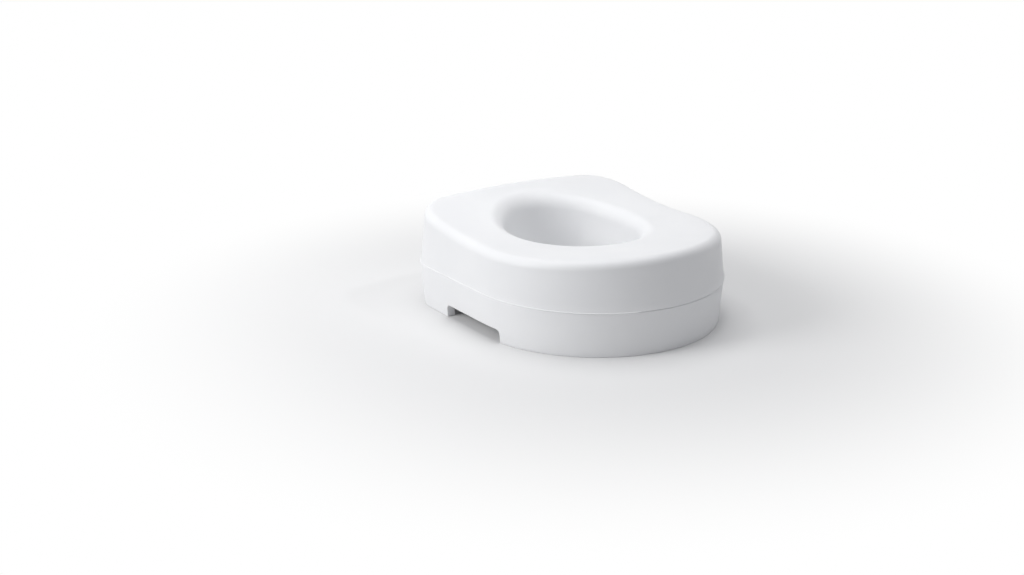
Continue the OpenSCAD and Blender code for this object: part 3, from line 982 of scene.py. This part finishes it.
def pad_body(name):
    def ring(inset, z):
        r, half = pad_width / 2 - inset, (pad_length - pad_width) / 2
        ends = [(half, -90), (-half, 90)]
        return [
            (x + r * math.cos(t), r * math.sin(t), z)
            for x, start in ends
            for t in np.radians(np.linspace(start, start + 180, 25))
        ]

    turns = np.radians(np.linspace(0, 90, 6))
    rings = [ring(sole_radius * (1 - math.sin(t)), sole_radius * (1 - math.cos(t))) for t in turns]
    rings += [ring(0.0, pad_thick - pad_bevel), ring(pad_bevel, pad_thick)]
    size = len(rings[0])
    faces = [tuple(reversed(range(size))), tuple(range((len(rings) - 1) * size, len(rings) * size))]
    for i in range(len(rings) - 1):
        for j in range(size):
            k = (j + 1) % size
            faces.append((i * size + j, i * size + k, (i + 1) * size + k, (i + 1) * size + j))
    mesh = bpy.data.meshes.new(name)
    mesh.from_pydata([point for one in rings for point in one], [], faces)
    pad = bpy.data.objects.new(name, mesh)
    bpy.context.scene.collection.objects.link(pad)
    stem = plug(stem_radius, stem_root_z, neck_z)[:3] + stem_head + [(0.0, stem_tip_z)]
    combine(pad, turned([stem, stem], [(-stem_offset, 0.0), (stem_offset, 0.0)], steps=32), "UNION")
    return pad


print("a pad is", round(pad_length * 1000), "mm long and", round(pad_width * 1000), "mm wide")

# %% Grooves in the sole
groove_count, groove_reach = 8, 0.05
groove_sizes = {"Pitch": 0.006, "Groove Width": 0.0016, "Groove Depth": 0.0007}


def groove_tree():
    tree, inlet, outlet = new_tree("Grooves in the sole", groove_sizes)
    size = tree.nodes.new("ShaderNodeCombineXYZ")
    depth = Term(tree, inlet.outputs["Groove Depth"]) * 2.0
    tree.links.new(inlet.outputs["Groove Width"], size.inputs["X"])
    size.inputs["Y"].default_value = groove_reach
    tree.links.new(depth.socket, size.inputs["Z"])
    bar = tree.nodes.new("GeometryNodeMeshCube")
    tree.links.new(size.outputs["Vector"], bar.inputs["Size"])
    first, step = tree.nodes.new("ShaderNodeCombineXYZ"), tree.nodes.new("ShaderNodeCombineXYZ")
    pitch = Term(tree, inlet.outputs["Pitch"])
    tree.links.new((pitch * ((1 - groove_count) / 2)).socket, first.inputs["X"])
    tree.links.new(pitch.socket, step.inputs["X"])
    row = tree.nodes.new("GeometryNodeMeshLine")
    row.inputs["Count"].default_value = groove_count
    tree.links.new(first.outputs["Vector"], row.inputs["Start Location"])
    tree.links.new(step.outputs["Vector"], row.inputs["Offset"])
    put = tree.nodes.new("GeometryNodeInstanceOnPoints")
    tree.links.new(bar.outputs["Mesh"], put.inputs["Instance"])
    realize = tree.nodes.new("GeometryNodeRealizeInstances")
    cut = tree.nodes.new("GeometryNodeMeshBoolean")
    cut.operation = "DIFFERENCE"
    paint = tree.nodes.new("GeometryNodeSetMaterial")
    tree.links.new(inlet.outputs["Finish"], paint.inputs["Material"])
    chain(tree, row, put, realize)
    tree.links.new(inlet.outputs["Geometry"], cut.inputs["Mesh 1"])
    tree.links.new(realize.outputs["Geometry"], cut.inputs["Mesh 2"])
    chain(tree, cut, paint, outlet)
    return tree


sole_tree = groove_tree()
pads = {}
for node, turn in pad_turns.items():
    pad = pad_body(node + "_rubber")
    run_tree(pad, sole_tree, {**groove_sizes, "Finish": pad_rubber})
    place = Matrix.Translation((*pad_spots[node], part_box(node)[0].z))
    pad.data.transform(place @ Matrix.Rotation(math.radians(turn), 4, "Z"))
    smooth(pad, 40)
    pads[node] = pad
    print(pad.name, len(pad.data.polygons), "faces")

# %% [markdown]
# ## Joining the frame
# Every piece rides on the one body of the part and stands for its CAD node, which is hidden.

# %% Pieces and nodes
stands_for = {
    "seat_shell": (seat, "seat_plastic"),
    "base_shell": (base, "base_plastic"),
    "shell_screws": (screws, "screw_steel"),
}
stands_for.update({node: (pad, "pad_rubber") for node, pad in pads.items()})
for node, (piece, slot) in stands_for.items():
    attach(piece, "root")
    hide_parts(node)
    print(piece.name, "stands for", node)

# %% [markdown]
# ## Floor and light
# The floor is plain and pale. Near the seat it is a matt surface that keeps the shadow, and further out it
# turns into plain white for the camera and for reflections. Under the seat it throws back more light than
# outside, which lightens the inside of the opening. The main light comes from the left, a little from
# behind, so that the left wall is bright, the front turns slowly into shade and the right side rests on the
# soft light from all around. A narrow fill from the right reaches the far inside of the opening, which
# the main light can't.

# %% Floor
floor_half = 30.0
inside_tone, outside_tone, seen_tone = 0.95, 0.72, 0.82


def seen_rays(tree):
    """1 for rays from the camera, a reflection or glass, 0 for rays that only carry light."""
    path = tree.nodes.new("ShaderNodeLightPath")
    seen = Term(tree, path.outputs["Is Camera Ray"])
    for label in ("Is Glossy Ray", "Is Transmission Ray"):
        seen = seen.math("MAXIMUM", seen, Term(tree, path.outputs[label]))
    return seen


def floor_finish():
    material = bpy.data.materials.new("pale floor")
    material.use_nodes = True
    tree = material.node_tree
    output = tree.nodes["Material Output"]
    matt = tree.nodes["Principled BSDF"]
    matt.inputs["Roughness"].default_value = 0.9
    white = tree.nodes.new("ShaderNodeEmission")
    distance = tree.nodes.new("ShaderNodeVectorMath")
    distance.operation = "LENGTH"
    tree.links.new(tree.nodes.new("ShaderNodeTexCoord").outputs["Object"], distance.inputs[0])

    def by_distance(near, far, first, last):
        """A number that changes from one value to another between two distances."""
        node = tree.nodes.new("ShaderNodeMapRange")
        node.interpolation_type = "SMOOTHSTEP"
        for label, value in zip(("From Min", "From Max", "To Min", "To Max"), (near, far, first, last)):
            node.inputs[label].default_value = value
        tree.links.new(distance.outputs["Value"], node.inputs["Value"])
        return Term(tree, node.outputs["Result"])

    seen = seen_rays(tree)
    tone = mix(by_distance(near=0.12, far=0.17, first=inside_tone, last=outside_tone), seen_tone, seen)
    tree.links.new(tone.socket, matt.inputs["Base Color"])
    share = by_distance(near=0.24, far=0.75, first=0.0, last=1.0) * seen
    blend = tree.nodes.new("ShaderNodeMixShader")
    tree.links.new(share.socket, blend.inputs["Fac"])
    tree.links.new(matt.outputs["BSDF"], blend.inputs[1])
    tree.links.new(white.outputs["Emission"], blend.inputs[2])
    tree.links.new(blend.outputs["Shader"], output.inputs["Surface"])
    return material


mesh = bpy.data.meshes.new("floor")
corners = [(x * floor_half, y * floor_half, 0.0) for x, y in ((-1, -1), (1, -1), (1, 1), (-1, 1))]
mesh.from_pydata(corners, [], [(0, 1, 2, 3)])
mesh.materials.append(floor_finish())
floor = bpy.data.objects.new("floor", mesh)
bpy.context.scene.collection.objects.link(floor)
print("the floor lies at the height of the skirt's lower edge")


# %% Lamps and soft light
def lamp(name, kind, place, aim, watts, **settings):
    light = bpy.data.lights.new(name, kind)
    light.energy = watts
    for label, value in settings.items():
        setattr(light, label, value)
    holder = bpy.data.objects.new(name, light)
    holder.location = place
    holder.rotation_euler = (Vector(aim) - Vector(place)).to_track_quat("-Z", "Y").to_euler()
    bpy.context.scene.collection.objects.link(holder)
    print(name, "at", place, "with", watts, "W")


part_middle, rear_of_opening = (0.0, 0.0, 0.09), (-0.05, 0.14, 0.12)
lamp("left window", "AREA", (-1.924, 0.374, 1.089), part_middle, 20.2, shape="DISK", size=1.1)
lamp("ceiling", "AREA", (0.05, 0.28, 2.55), part_middle, 33.0, shape="DISK", size=2.2)
narrow = {"spot_size": math.radians(11), "spot_blend": 1.0, "shadow_soft_size": 0.12}
lamp("fill", "SPOT", (0.9, -0.7, 1.6), rear_of_opening, 22.0, **narrow)

world = bpy.data.worlds.new("soft light")
bpy.context.scene.world = world
world.use_nodes = True
backdrop = world.node_tree.nodes["Background"]
soft_light = (0.285, 0.289, 0.302)
seen = seen_rays(world.node_tree)
colour = world.node_tree.nodes.new("ShaderNodeCombineColor")
for channel, level in zip(colour.inputs, soft_light):
    world.node_tree.links.new(mix(level, 1.0, seen).socket, channel)
world.node_tree.links.new(colour.outputs["Color"], backdrop.inputs["Color"])
bpy.context.scene.view_settings.view_transform = "Standard"
print("soft light at", soft_light)

# %% [markdown]
# ## Camera
# The camera stands at the left of the front and looks down on the seat by about eighteen degrees, so that
# the dished top, the front wall and the left hand notch are all in view.

# %% Camera
focal_pixels, frame_pixels = 1344.99, 1024
view = bpy.data.cameras.new("camera")
view.sensor_width = 36.0
view.lens = focal_pixels * view.sensor_width / frame_pixels
camera = bpy.data.objects.new("camera", view)
camera.location = (-1.1393, -1.5173, 0.6555)
camera.rotation_euler = (math.radians(71.825), 0.0, math.radians(-33.678))
bpy.context.scene.collection.objects.link(camera)
bpy.context.scene.camera = camera
print(f"camera with a {view.lens:.1f} mm lens")
